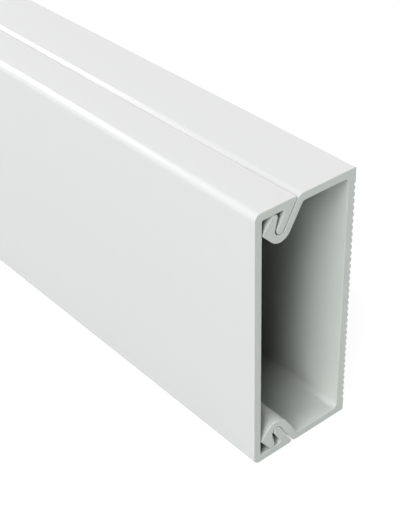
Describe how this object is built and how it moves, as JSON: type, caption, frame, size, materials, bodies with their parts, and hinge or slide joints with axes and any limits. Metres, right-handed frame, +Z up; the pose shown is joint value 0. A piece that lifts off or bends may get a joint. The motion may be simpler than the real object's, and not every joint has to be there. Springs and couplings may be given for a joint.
{
  "type": "cord cover raceway",
  "caption": "White rectangular cord cover raceway for hiding cables along a wall: an extruded channel with a ribbed mounting back and rolled hooks, closed by a snap-fit cover.",
  "frame": {"origin": "middle of the footprint: mid-length and mid-depth, on the plane of the lower side face", "axes": "+X along the raceway's length, +Y out of the ribbed mounting back, +Z up across the cover's width"},
  "size_m": [0.4, 0.017, 0.04],
  "materials": {
    "base_pvc": "satin white rigid PVC with faint lengthwise extrusion lines and sawn ends",
    "cover_pvc": "satin white rigid PVC with faint lengthwise extrusion lines and sawn ends"
  },
  "bodies": {
    "base": {"base_channel": "base_pvc"},
    "cover": {"cover": "cover_pvc"}
  },
  "joints": [
    {"name": "cover_slide", "type": "slide", "parent": "base", "child": "cover", "axis": [1, 0, 0], "range_m": [-0.4, 0.4]}
  ]
}
